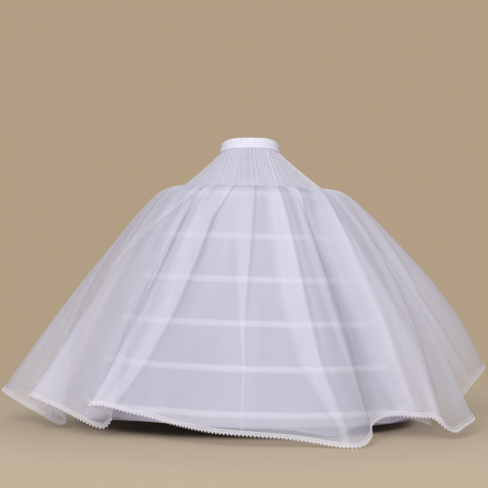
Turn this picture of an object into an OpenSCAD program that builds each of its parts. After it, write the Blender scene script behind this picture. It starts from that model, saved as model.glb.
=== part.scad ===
// Hooped petticoat: an elastic waistband, a gathered yoke, a cone underskirt with six hoops
// in sewn casings, and two bell-shaped net skirts, the outer one edged with lace.
// The waist's front edge is at z = 0 and the front faces -Y. Sizes are in millimetres.

/* [Waist] */
// Width of the waist opening at its top edge, side to side
waist_width = 196; // [180:2:250]
// Depth of the waist opening at its top edge, front to back
waist_depth = 158; // [140:2:210]
// How far the sides of the waist dip below its front
waist_dip = 15; // [0:1:24]
// Height of the waistband
band_height = 38; // [36:1:52]
// How far the waistband's lower edge stands out past its top edge
band_flare = 8; // [0:0.5:12]
// Height of the elastic in the waistband
elastic_height = 22; // [16:1:22]
// Thickness of the elastic
elastic_thickness = 1; // [0.8:0.1:1.2]
// How far the waistband's puckers stand in and out
pucker_depth = 1; // [0:0.1:2]

/* [Yoke] */
// Depth of the hip seam below the waist's front edge
seam_drop = 183; // [160:1:220]
// Radius of the hip seam
seam_radius = 260; // [230:1:280]
// Number of gathers round the yoke
gathers = 44; // [32:2:52]
// How far the gathers stand out just below the waistband
gather_depth = 3.5; // [0:0.5:5]
// Share of the gathers' depth that is left at the sides
side_gathers = 0.4; // [0:0.05:1]
// How far the gathers crowd towards the front and back at the hip seam, in degrees
side_fan = 14; // [0:1:18]
// Length of yoke tucked up into the waistband
yoke_tuck = 10; // [6:1:12]

/* [Underskirt] */
// Slope of the underskirt's wall from upright, in degrees
cone_angle = 23.2; // [18:0.1:26]
// Sideways lean of the hoops and hip seam, in degrees
cage_lean = 1.6; // [0:0.1:2]
// Plain cloth below the lowest hoop, along the height
hem_margin = 38.5; // [24:0.5:60]
// Thickness of the yoke, underskirt, waistband and casings
cloth_thickness = 1.2; // [0.8:0.1:1.6]
// Room left between layers of cloth
cloth_gap = 0.3; // [0.2:0.05:0.4]

/* [Hoops] */
// Drop from the hip seam to the top hoop
top_hoop_drop = 30; // [24:1:50]
// Drop from each hoop to the next
hoop_spacing = 153.5; // [130:0.5:170]
// Height of a hoop's flat bone
bone_height = 10; // [6:0.5:11]
// Thickness of a hoop's flat bone
bone_thickness = 1.6; // [1:0.1:2]
// Gap between the ends of a bone, inside its joiner
bone_end_gap = 4; // [2:0.5:8]
// Length of a joiner's sleeve
joiner_length = 60; // [40:1:90]
// Wall of a joiner's sleeve
joiner_wall = 0.7; // [0.5:0.1:1]
// Room between a bone and its joiner
joiner_fit = 0.2; // [0.1:0.05:0.3]
// Height of a hoop's casing
casing_height = 24; // [22:0.5:30]

/* [Net skirts] */
// Thickness of a net skirt
net_thickness = 1.2; // [0.8:0.1:1.6]
// How far the outer net's hem stands out past the underskirt's hem
outer_flare = 233; // [215:1:260]
// How far the outer net's hem lies above the underskirt's hem
outer_rise = 23; // [0:1:45]
// How far the inner net's hem stands out past the underskirt's hem
inner_flare = 63; // [60:1:75]
// How far the inner net's hem lies above the underskirt's hem
inner_rise = 3; // [0:1:20]
// How far the outer net's gathers stand out from the hip seam
outer_shoulder = 53; // [47:1:73]
// How far the inner net's gathers stand out from the hip seam
inner_shoulder = 29; // [13:1:31]
// Number of pleats at the top of the nets
pleats = 20; // [12:1:26]
// How far those pleats stand in and out
pleat_depth = 11; // [0:1:12]
// Height of the lace along the outer hem
lace_height = 16; // [8:1:24]
// Thickness of the lace
lace_thickness = 0.8; // [0.6:0.1:1.2]

/* [Hidden] */
$fn = 180;
hoop_count = 6;
cloth_color = "white";
net_color = [0.93, 0.93, 0.97, 0.55];
lace_color = [0.98, 0.98, 1];
bone_color = [0.9, 0.9, 0.88];

// Underskirt: drops are measured down from the waist's front edge
hem_drop = seam_drop + top_hoop_drop + (hoop_count - 1) * hoop_spacing + hem_margin;
lean_drop = (seam_drop + hem_drop) / 2;
wall_width = cloth_thickness / cos(cone_angle);
skirt_top_drop = seam_drop + cloth_gap;
skirt_top_radius = seam_radius + cloth_thickness / 2;

// Hoop pocket: the joiner is the largest thing that it holds
joiner_depth = bone_thickness + 2 * (joiner_fit + joiner_wall);
joiner_height = bone_height + 2 * (joiner_fit + joiner_wall);
pocket_depth = joiner_depth + 2 * cloth_gap;
pocket_height = joiner_height + 4 * cloth_gap;
pocket_middle = cloth_gap + pocket_depth / 2;

// Waistband: a strip folded over the elastic, with the yoke's edge between its legs
band_pocket = max(elastic_thickness, cloth_thickness) + 2 * cloth_gap;
band_half = band_pocket / 2 + cloth_thickness;
band_out = band_half + pucker_depth;
waist_samples = 3 * gathers;

// How late the waist's edge dips on the way from the front to the side
dip_power = 4;

// Net skirts: the outer net is sewn on just above the hip seam, the inner net just below
net_edge_step = net_thickness / 2 + cloth_gap;
net_edge_radius = skirt_top_radius + cloth_gap;
outer_seam = [net_edge_radius, seam_drop - net_edge_step];
inner_seam = [net_edge_radius + 2 * net_edge_step * tan(cone_angle), skirt_top_drop + net_edge_step];
hem_radius = skirt_radius(hem_drop);
outer_hem = [hem_radius + outer_flare, hem_drop - outer_rise];
inner_hem = [hem_radius + inner_flare, hem_drop - inner_rise];

// Bell of the nets: how soon the shoulder springs out, how levels crowd towards the seam, how
// the wall curves out on the way down and swells midway on the right, how soon folds swing
// round to their place at the hem, how late flutes open, and how soon the pleats fade
shoulder_reach = 0.03;
level_power = 1.5;
bell_power = 0.8;
bell_swell = 0.09;
swing_power = 0.7;
flute_power = 2;
pleat_fade = 6;

// Length of the outer net for each step of level at its hem, which gives the lace's top level
bell_reach = outer_hem[0] - outer_seam[0] - outer_shoulder;
hem_step = level_power * norm([outer_hem[1] - outer_seam[1], bell_power * bell_reach]);
lace_top = 1 - lace_height / hem_step;
outer_levels = [0, 0.012, 0.04, 0.1, 0.22, 0.38, 0.55, 0.7, 0.82, 0.91, lace_top, 1];
inner_levels = [0, 0.015, 0.05, 0.13, 0.28, 0.5, 0.75, 1];

// Outer net folds, in order round from the front: azimuth at the seam, azimuth at the hem,
// how far the bell stands out there past its usual reach, and how far the hem hangs lower,
// both in thousandths of the underskirt's hem radius
plain_folds = [
    [-16, -22, -120, -15], [-8, -9, -35, 25], [0, 0, -10, 40], [7, 8, 0, 55], [12, 13.5, 15, 75],
    [17, 19, 95, 95], [21, 22.5, 100, 90], [24, 26, 55, 50], [26, 29.5, -50, 5], [29, 35, -120, -20],
    [34, 39.5, -95, -30], [39, 42.5, -10, -25], [43, 44, 80, -20], [46, 45.5, 105, 35], [49, 49, 85, 60],
    [54, 55, 65, 40], [58, 62, 55, 15], [61, 65, -15, 0], [65, 72, -135, -5], [70, 82, -140, -15],
    [77, 92, 20, -120], [84, 100, 185, -200], [90, 106, 240, -210], [95, 112, 160, -150],
    [100, 118, 0, -65], [106, 124, -90, -15], [114, 131, 15, -25], [121, 138, 145, -55],
    [128, 144, 0, 0], [135, 150, -115, 30], [143, 157, 15, 0], [150, 164, 120, -30],
    [157, 170, 0, 10], [164, 176, -115, 35], [172, 183, 15, 0], [180, 190, 130, -30],
    [187, 197, 15, 0], [194, 204, -105, 30], [202, 212, 15, 0], [210, 221, 145, -40],
    [218, 230, 30, -10], [225, 238, -90, 15], [233, 247, 30, -25], [241, 257, 160, -75]
];

// Folds at the left side, which open into deep flutes late, near the hem: the fifth value is how
// far the bell stands out above the flutes
fluted_folds = [
    [250, 269, 185, -90, 185], [257, 274, 35, -35, 135], [265, 279, -115, 30, 75],
    [273, 286, -210, 80, 30], [278, 291.5, -220, 35, -20], [285, 294, -65, -45, -30],
    [290, 295, 105, -105, -35], [295, 299, 40, -85, -50], [300, 304, -55, -45, -70],
    [306, 310, -125, 5, -85], [310, 314, -170, 40, -95], [313, 317, -195, 45, -100],
    [317, 319.5, -185, -25, -105], [321, 320, -45, -65, -105], [326, 320, 90, -90, -105],
    [330, 323, 45, -95, -110], [334, 328, -35, -65, -110], [340, 334, -105, -35, -115]
];
outer_folds = concat([for (f = plain_folds) concat(f, f[2])], fluted_folds);

// Inner net flutes, in order round from the front: azimuth, how far the bell stands out there
// past its usual reach, and how far the hem hangs lower, in the same thousandths
inner_flutes = [
    [0, -40, 5], [12, -20, 15], [22, 90, 40], [30, 15, 15], [37, -30, -5], [44, 20, 0],
    [52, 40, -15], [57, 115, 25], [64, 30, 0], [76, -40, -15], [90, 50, -40], [103, 120, -65],
    [116, 15, -25], [130, -30, 0], [145, 65, -15], [160, -30, 10], [175, 55, -15], [190, -30, 10],
    [205, 65, -15], [220, -30, 5], [236, 50, -15], [252, 0, -10], [268, 65, -30], [282, 0, -15],
    [298, 15, -10], [314, -55, -10], [328, -50, -15], [344, -35, -5]
];
inner_folds = [for (f = inner_flutes) [f[0], f[0], f[1], f[2], f[1]]];

// Samples from each fold or flute to the next
plain_samples = 2;
fluted_samples = 5;
flute_samples = 4;
outer_samples = [for (i = [0:len(outer_folds) - 1]) i < len(plain_folds) ? plain_samples : fluted_samples];
inner_samples = [for (flute = inner_flutes) flute_samples];

// Radius of the underskirt's outer face at a drop
function skirt_radius(drop) = skirt_top_radius + (drop - skirt_top_drop) * tan(cone_angle);

// Drop of the hoop numbered from 1 at the top
function hoop_drop(number) = seam_drop + top_hoop_drop + (number - 1) * hoop_spacing;

// Point at an azimuth from the front, a radius and a drop
function around(azimuth, radius, drop) = [radius * sin(azimuth), -radius * cos(azimuth), -drop];

// The same point after the sideways lean of the cage
function leaned(p) = let (up = p[2] + lean_drop)
    [
        p[0] * cos(cage_lean) + up * sin(cage_lean),
        p[1],
        up * cos(cage_lean) - p[0] * sin(cage_lean) - lean_drop
    ];

function unit(v) = v / norm(v);
function mixed(a, b, t) = a * (1 - t) + b * t;

// Smooth curve through b and c, with a before them and d after
function smooth_through(a, b, c, d, t) =
    b + (c - a) * t / 2 + (2 * a - 5 * b + 4 * c - d) * t * t / 2 + (3 * b - a - 3 * c + d) * t * t * t / 2;

// Row of a closed list of folds, with full turns added past its ends
function fold_row(folds, i) = let (n = len(folds), turn = 360 * floor(i / n))
    folds[i - n * floor(i / n)] + [turn, turn, 0, 0, 0];

// Closed ring of folds, with a number of samples from each row to the next
function fold_ring(folds, samples) = [for (i = [0:len(folds) - 1]) for (k = [0:samples[i] - 1])
    smooth_through(fold_row(folds, i - 1), fold_row(folds, i), fold_row(folds, i + 1), fold_row(folds, i + 2),
        k / samples[i])];

// Point of a net at a level from 0 at the seam to 1 at the hem: it springs out of the seam
// by its shoulder, then falls in a bell while its folds open, and the hem cuts it off
function net_point(fold, level, seam, hem, shoulder, depth) = let (
        usual_fall = hem[1] - seam[1],
        lower = fold[3] * hem_radius / 1000,
        way = pow(level, level_power),
        fall = way * (1 + lower / usual_fall),
        azimuth = mixed(fold[0], fold[1], pow(fall, swing_power)),
        reach = mixed(fold[4], fold[2], pow(fall, flute_power)) * hem_radius / 1000,
        spring = shoulder * (1 - exp(-level / shoulder_reach)),
        swell = bell_swell * (1 + sin(azimuth)) / 2 * pow(4 * fall * (1 - fall), 2),
        flare = (hem[0] + reach - seam[0] - shoulder) * pow(fall, bell_power) * (1 + swell),
        fade = pleat_fade * level,
        pleat = depth * cos(pleats * azimuth) * fade * exp(1 - fade),
        edge = around(fold[0], seam[0], seam[1]))
    around(azimuth, seam[0] + spring + flare + pleat, seam[1] + usual_fall * fall)
        + (leaned(edge) - edge) * (1 - way);

function net_grid(ring, levels, seam, hem, shoulder, depth) =
    [for (level = levels) [for (fold = ring) net_point(fold, level, seam, hem, shoulder, depth)]];

// Outward unit normal of a closed grid at a row and column
function grid_normal(grid, i, j) = let (
        n = len(grid[0]),
        across = grid[i][(j + 1) % n] - grid[i][(j + n - 1) % n],
        down = grid[min(i + 1, len(grid) - 1)][j] - grid[max(i - 1, 0)][j])
    unit(cross(down, across));

// Grid moved along its normals
function grid_offset(grid, distance) = [for (i = [0:len(grid) - 1]) [for (j = [0:len(grid[0]) - 1])
    grid[i][j] + distance * grid_normal(grid, i, j)]];

function flat_list(rows) = [for (row = rows) for (p = row) p];

// Two triangles of a quad, given by its corners
function quad(a, b, c, d) = [[a, b, c], [a, c, d]];

// Faces between each row of n points and the next, from a first point
function sheet_faces(rows, n, first) = [for (i = [0:rows - 2]) for (j = [0:n - 1])
    let (k = (j + 1) % n, top = first + i * n, low = top + n)
    each quad(top + j, top + k, low + k, low + j)];

// Closed wall between an outer and an inner grid of the same size
module wall_between(outer, inner) {
    rows = len(outer);
    n = len(outer[0]);
    far = rows * n;
    low = (rows - 1) * n;
    inside = [for (f = sheet_faces(rows, n, far)) [f[0], f[2], f[1]]];
    top_rim = [for (j = [0:n - 1]) let (k = (j + 1) % n) each quad(k, j, far + j, far + k)];
    low_rim = [for (j = [0:n - 1]) let (k = (j + 1) % n)
        each quad(low + j, low + k, far + low + k, far + low + j)];
    polyhedron(concat(flat_list(outer), flat_list(inner)),
        concat(sheet_faces(rows, n, 0), inside, top_rim, low_rim));
}

// Closed ring whose section's points, clockwise from the outer side, are the grid's rows
module ring_of_sections(grid) {
    n = len(grid[0]);
    looped = concat(grid, [grid[0]]);
    faces = [for (f = sheet_faces(len(looped), n, 0)) [for (p = f) p % (n * len(grid))]];
    polyhedron(flat_list(grid), faces);
}

module cage_lean_applied() {
    translate([0, 0, -lean_drop]) rotate([0, cage_lean, 0]) translate([0, 0, lean_drop]) children();
}

// Turned piece from a section drawn on the underskirt's outer face at a drop: its x is
// outwards and its y is up the slope; it spans an angle with its middle at the back or front
module turned_on_skirt(drop, angle, middle) {
    cage_lean_applied() rotate([0, 0, middle - angle / 2]) rotate_extrude(angle = angle)
        translate([skirt_radius(drop), -drop]) rotate(cone_angle) children();
}

// Degrees that a length takes up round a hoop
function hoop_degrees(number, length) = 360 * length / (2 * PI * skirt_radius(hoop_drop(number)));

// Turns of the front and the back, from +X
front = -90;
back = 90;

// Place on the puckered waist oval: out from its middle line, below the waist's edge
function waist_point(turn, out, down) = let (
        a = waist_width / 2 + band_out,
        b = waist_depth / 2 + band_out,
        side = unit([b * sin(turn), -a * cos(turn)]),
        reach = out + pucker_depth * cos(gathers * turn) + band_flare * down / band_height,
        dip = waist_dip * pow(sin(turn), dip_power))
    [a * sin(turn) + side[0] * reach, -b * cos(turn) + side[1] * reach, -down - dip];

waist_turns = [for (i = [0:waist_samples - 1]) 360 * i / waist_samples];

// Each point of a section, given as out and down, taken round the waist
function waist_grid(section) = [for (p = section) [for (turn = waist_turns) waist_point(turn, p[0], p[1])]];

// Waistband: a strip folded over the top, with both legs hanging down
module waistband() {
    slot = band_pocket / 2;
    fold_in = cloth_thickness / 2;
    section = [
        [band_half - fold_in, 0], [band_half, fold_in], [band_half, band_height],
        [slot, band_height], [slot, cloth_thickness], [-slot, cloth_thickness],
        [-slot, band_height], [-band_half, band_height], [-band_half, fold_in], [-band_half + fold_in, 0]
    ];
    color(cloth_color) ring_of_sections(waist_grid(section));
}

// Elastic strap in the fold of the waistband
module waist_elastic() {
    half = elastic_thickness / 2;
    top = cloth_thickness + cloth_gap;
    low = top + elastic_height;
    section = [[half, top], [half, low], [-half, low], [-half, top]];
    color(bone_color) ring_of_sections(waist_grid(section));
}

// Turn at the hip seam of the gather that leaves the waist at a turn
function hip_turn(turn) = turn - side_fan * sin(2 * turn);

// Yoke: from between the waistband's legs it flares to the round hip seam, and its
// gathers fade on the way; each level is a share of the way down and of the gathers' depth
module yoke() {
    flare_start = band_height + cloth_thickness;
    levels = [[0, 0], [0.12, 1], [0.35, 0.8], [0.65, 0.45], [1, 0]];
    tucked = [for (turn = waist_turns) waist_point(turn, 0, band_height - yoke_tuck)];
    flared = [for (level = levels) [for (turn = waist_turns)
        let (
            top = waist_point(turn, 0, flare_start),
            hip = leaned(around(hip_turn(turn), seam_radius, seam_drop)),
            out = gather_depth * level[1] * mixed(side_gathers, 1, pow(cos(turn), 2)) * cos(gathers * turn))
        mixed(top, hip, level[0]) + around(mixed(turn, hip_turn(turn), level[0]), out, 0)]];
    middle = concat([tucked], flared);
    half = cloth_thickness / 2;
    last = len(middle) - 1;
    outer = grid_offset(middle, half);
    inner = grid_offset(middle, -half);
    rim = [for (turn = waist_turns) around(hip_turn(turn), half, 0)];
    outer_face = [for (i = [0:last]) i < last ? outer[i] : middle[i] + rim];
    inner_face = [for (i = [0:last]) i < last ? inner[i] : middle[i] - rim];
    color(cloth_color) wall_between(outer_face, inner_face);
}

// Underskirt: a plain cone from the hip seam to its hem
module underskirt() {
    section = [
        [skirt_top_radius - wall_width, -skirt_top_drop], [skirt_top_radius, -skirt_top_drop],
        [hem_radius, -hem_drop], [hem_radius - wall_width, -hem_drop]
    ];
    color(cloth_color) cage_lean_applied() rotate_extrude() polygon(section);
}

// Casing: a strip sewn to the underskirt along both edges, with a pocket between
module hoop_casing(number) {
    flat = cloth_gap + cloth_thickness;
    edge = casing_height / 2;
    pocket = pocket_height / 2;
    shoulder = pocket + cloth_thickness;
    deep = cloth_gap + pocket_depth;
    section = [
        [cloth_gap, -edge], [flat, -edge], [flat, -shoulder], [deep + cloth_thickness, -pocket],
        [deep + cloth_thickness, pocket], [flat, shoulder], [flat, edge], [cloth_gap, edge],
        [cloth_gap, pocket], [deep, pocket], [deep, -pocket], [cloth_gap, -pocket]
    ];
    color(cloth_color) turned_on_skirt(hoop_drop(number), 360, front) polygon(section);
}

// Hoop: a flat bone bent round, with its two ends a little apart at the back
module hoop(number) {
    open = hoop_degrees(number, bone_end_gap);
    color(bone_color) turned_on_skirt(hoop_drop(number), 360 - open, front)
        translate([pocket_middle, 0]) square([bone_thickness, bone_height], center = true);
}

// Joiner: a flat sleeve round both ends of the bone
module hoop_joiner(number) {
    hole = [bone_thickness + 2 * joiner_fit, bone_height + 2 * joiner_fit];
    color(bone_color) turned_on_skirt(hoop_drop(number), hoop_degrees(number, joiner_length), back)
        translate([pocket_middle, 0]) difference() {
            square([joiner_depth, joiner_height], center = true);
            square(hole, center = true);
        }
}

outer_ring = fold_ring(outer_folds, outer_samples);
inner_ring = fold_ring(inner_folds, inner_samples);
outer_grid = net_grid(outer_ring, outer_levels, outer_seam, outer_hem, outer_shoulder, pleat_depth);
inner_grid = net_grid(inner_ring, inner_levels, inner_seam, inner_hem, inner_shoulder, pleat_depth / 2);

// Inner net: plain, in shallow flutes; its pleats are half as deep as the outer net's
module inner_net() {
    half = net_thickness / 2;
    color(net_color) wall_between(grid_offset(inner_grid, half), grid_offset(inner_grid, -half));
}

// Outer net: a bell in deep folds
module outer_net() {
    half = net_thickness / 2;
    color(net_color) wall_between(grid_offset(outer_grid, half), grid_offset(outer_grid, -half));
}

// Lace: a strip sewn on the outside of the outer net, over its two lowest levels
module hem_lace() {
    under = net_thickness / 2 + cloth_gap;
    face = grid_offset(outer_grid, under + lace_thickness);
    backing = grid_offset(outer_grid, under);
    last = len(outer_levels) - 1;
    color(lace_color) wall_between([face[last - 1], face[last]], [backing[last - 1], backing[last]]);
}

waistband();
waist_elastic();
yoke();
underskirt();
for (number = [1:hoop_count]) {
    hoop_casing(number);
    hoop(number);
    hoop_joiner(number);
}
inner_net();
outer_net();
hem_lace();
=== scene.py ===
"""Hooped petticoat: cloth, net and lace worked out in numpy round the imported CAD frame.

The frame's origin is the centre of the waist opening, +Z is up and the front faces -Y.
"""

import logging
import math
from dataclasses import dataclass, field
from enum import Enum
from functools import partial
from typing import Any

import bpy
import numpy as np
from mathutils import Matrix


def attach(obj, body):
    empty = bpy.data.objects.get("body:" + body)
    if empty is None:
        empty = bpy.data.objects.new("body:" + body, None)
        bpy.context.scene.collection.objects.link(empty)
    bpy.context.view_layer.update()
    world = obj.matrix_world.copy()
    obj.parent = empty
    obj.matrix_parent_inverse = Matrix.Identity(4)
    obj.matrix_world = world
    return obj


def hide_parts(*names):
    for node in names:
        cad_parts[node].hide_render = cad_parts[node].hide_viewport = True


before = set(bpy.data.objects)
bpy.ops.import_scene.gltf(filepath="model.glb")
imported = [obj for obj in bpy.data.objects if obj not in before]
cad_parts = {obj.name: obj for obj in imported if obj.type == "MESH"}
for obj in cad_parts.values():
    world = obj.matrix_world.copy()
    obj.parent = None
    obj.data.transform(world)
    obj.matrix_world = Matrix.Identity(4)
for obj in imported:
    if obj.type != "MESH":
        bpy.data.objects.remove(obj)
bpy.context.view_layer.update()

log = logging.getLogger("petticoat")

MM = 0.001
BODY = "root"
SEED = 7
# Random starts of waves round the skirt, in radians: about one turn
WAVE_START = 6.28


class Held(Enum):
    """How a sheet of cloth is held."""

    GATHERED = "gathered"
    HUNG = "hung"
    STRETCHED = "stretched"


class Slot(Enum):
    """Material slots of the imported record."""

    COTTON = "cotton_cloth"
    TAFFETA = "taffeta"
    TAPE = "casing_tape"
    TULLE = "tulle"
    LACE = "lace"


# Colour, node and mesh helpers


def linear(hex_colour: str) -> tuple[float, float, float, float]:
    """Turns an sRGB hex colour to linear red, green, blue and alpha.

    Args:
        hex_colour: colour written as #RRGGBB.

    Returns:
        Linear components with an alpha of 1.
    """
    parts = [int(hex_colour[i:i + 2], 16) / 255 for i in (1, 3, 5)]
    red, green, blue = (p / 12.92 if p <= 0.04045 else ((p + 0.055) / 1.055) ** 2.4 for p in parts)
    return red, green, blue, 1.0


def add_node(tree: bpy.types.NodeTree, kind: str, *values: Any, named: dict[str, Any] | None = None,
             **settings: Any) -> bpy.types.Node:
    """Adds a node, with its settings, constant inputs and links.

    Args:
        tree: node tree that gets the node.
        kind: Blender's name of the node type, without "ShaderNode".
        values: for the first inputs in order, a constant, a socket or a node, which stands
            for its first output.
        named: the same for inputs by name.
        settings: properties of the node.

    Returns:
        The new node.
    """
    node = tree.nodes.new("ShaderNode" + kind)
    for name, value in settings.items():
        setattr(node, name, value)
    for place, value in [*enumerate(values), *(named or {}).items()]:
        source = value.outputs[0] if isinstance(value, bpy.types.Node) else value
        if isinstance(source, bpy.types.NodeSocket):
            tree.links.new(source, node.inputs[place])
        else:
            node.inputs[place].default_value = source
    return node


def new_material(name: str) -> tuple[bpy.types.Material, bpy.types.NodeTree, bpy.types.Node]:
    """Starts a material with nodes.

    Args:
        name: material's name.

    Returns:
        The material, its node tree and the Principled shader in it.
    """
    made = bpy.data.materials.new(name)
    made.use_nodes = True
    return made, made.node_tree, made.node_tree.nodes["Principled BSDF"]


def uneven_waves(seed: int, turn: np.ndarray, counts: tuple[int, ...], least: float, most: float,
                 drift: np.ndarray | float = 0.0) -> np.ndarray:
    """Adds up sine waves round the skirt whose strengths and starts are drawn at random.

    Args:
        seed: seed of the draws.
        turn: azimuths in radians.
        counts: for each sine, its number of waves in one turn.
        least: least strength.
        most: greatest strength.
        drift: angle by which all the waves are moved.

    Returns:
        The sum at each azimuth.
    """
    rng = np.random.default_rng(seed)
    return sum(rng.uniform(least, most) * np.sin(count * turn + rng.uniform(0, WAVE_START) + drift)
               for count in counts)


def grid_object(name: str, points: np.ndarray, uv: np.ndarray | None = None,
                closed_rows: bool = False) -> bpy.types.Object:
    """Makes an object from a grid of points that is closed round its columns.

    Rows run down and columns run round from the front by +X, so each quad taken down first
    and then across faces outwards.

    Args:
        name: object's name.
        points: array of rows, columns and xyz, in metres.
        uv: array of rows, columns + 1 and two, with one more column where the ring closes;
            rows + 1 where the rows close too.
        closed_rows: whether the last row joins the first.

    Returns:
        The linked object, smooth shaded.
    """
    rows, columns = points.shape[:2]
    steps = rows if closed_rows else rows - 1
    i, j = np.meshgrid(np.arange(steps), np.arange(columns), indexing="ij")
    corner_rows = np.stack([i, i + 1, i + 1, i], -1).reshape(-1, 4)
    corner_columns = np.stack([j, j, j + 1, j + 1], -1).reshape(-1, 4)
    quads = (corner_rows % rows) * columns + corner_columns % columns
    mesh = mesh_from_quads(name, points.reshape(-1, 3), quads)
    if uv is not None:
        layer = mesh.uv_layers.new(name="flat")
        layer.data.foreach_set("uv", uv[corner_rows, corner_columns].astype(np.float32).ravel())
    obj = bpy.data.objects.new(name, mesh)
    bpy.context.scene.collection.objects.link(obj)
    return obj


def mesh_from_quads(name: str, points: np.ndarray, quads: np.ndarray) -> bpy.types.Mesh:
    """Puts points and quads into a new smooth-shaded mesh.

    Args:
        name: mesh name.
        points: array of xyz.
        quads: array of four point numbers for each face.

    Returns:
        The mesh.
    """
    mesh = bpy.data.meshes.new(name)
    mesh.vertices.add(len(points))
    mesh.vertices.foreach_set("co", points.astype(np.float32).ravel())
    mesh.loops.add(quads.size)
    mesh.loops.foreach_set("vertex_index", quads.astype(np.int32).ravel())
    mesh.polygons.add(len(quads))
    mesh.polygons.foreach_set("loop_start", np.arange(0, quads.size, 4, dtype=np.int32))
    mesh.polygons.foreach_set("use_smooth", np.ones(len(quads), bool))
    mesh.update(calc_edges=True)
    return mesh


def point_attribute(obj: bpy.types.Object, name: str, values: np.ndarray) -> None:
    """Stores one number at each point of an object's mesh."""
    attribute = obj.data.attributes.new(name, "FLOAT", "POINT")
    attribute.data.foreach_set("value", values.astype(np.float32).ravel())


def thicken(obj: bpy.types.Object, thickness: float) -> None:
    """Gives a sheet its thickness, half to each side, with a Solidify modifier.

    Args:
        obj: sheet.
        thickness: whole thickness in metres.
    """
    solidify = obj.modifiers.new("cloth thickness", "SOLIDIFY")
    solidify.thickness = thickness
    solidify.offset = 0.0


def stands_for(obj: bpy.types.Object, slot: Slot, *nodes: str) -> None:
    """Lets a piece ride on the body and stand for CAD nodes, and reports it.

    Args:
        obj: piece.
        slot: material slot of the record; not used.
        nodes: CAD nodes that the piece replaces, if any.
    """
    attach(obj, BODY)
    if nodes:
        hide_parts(*nodes)
    log.info("%s: %d faces", obj.name, len(obj.data.polygons))


def wear(obj: bpy.types.Object, finish: bpy.types.Material) -> None:
    """Gives every material slot of a CAD node one finish.

    Args:
        obj: CAD node.
        finish: material that it takes.
    """
    if not obj.data.materials:
        obj.data.materials.append(finish)
    for holder in obj.material_slots:
        holder.material = finish


def flat_uv(points: np.ndarray, closed_rows: bool = False) -> np.ndarray:
    """Works out flat cloth coordinates of a grid, in metres.

    Across, it is the length along the widest row; down, it is the mean length along the
    columns, both added up from segment to segment.

    Args:
        points: array of rows, columns and xyz, closed round its columns.
        closed_rows: whether the last row joins the first.

    Returns:
        Array of rows (+ 1 if closed), columns + 1 and two.
    """
    across = np.linalg.norm(np.roll(points, -1, 1) - points, axis=2)
    widest = across[np.argmax(across.sum(1))]
    down = np.linalg.norm(np.diff(points, axis=0), axis=2).mean(1)
    if closed_rows:
        down = np.append(down, np.linalg.norm(points[0] - points[-1], axis=1).mean())
    u = np.concatenate([[0], np.cumsum(widest)])
    v = np.concatenate([[0], np.cumsum(down)])
    return np.stack(np.broadcast_arrays(u[None, :], v[:, None]), -1)


def grid_normals(points: np.ndarray) -> np.ndarray:
    """Outward unit normals of a grid that is closed round its columns: down times across.

    Args:
        points: array of rows, columns and xyz.

    Returns:
        Array of the same shape.
    """
    across = np.roll(points, -1, 1) - np.roll(points, 1, 1)
    down = np.gradient(points, axis=0)
    normal = np.cross(down, across)
    return normal / np.linalg.norm(normal, axis=2, keepdims=True)


def around(azimuth: np.ndarray, radius: np.ndarray, drop: np.ndarray) -> np.ndarray:
    """Points at azimuths from the front in radians, radii and drops below the waist."""
    return np.stack(np.broadcast_arrays(radius * np.sin(azimuth), -radius * np.cos(azimuth), -drop), -1)


# Finishes


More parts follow.
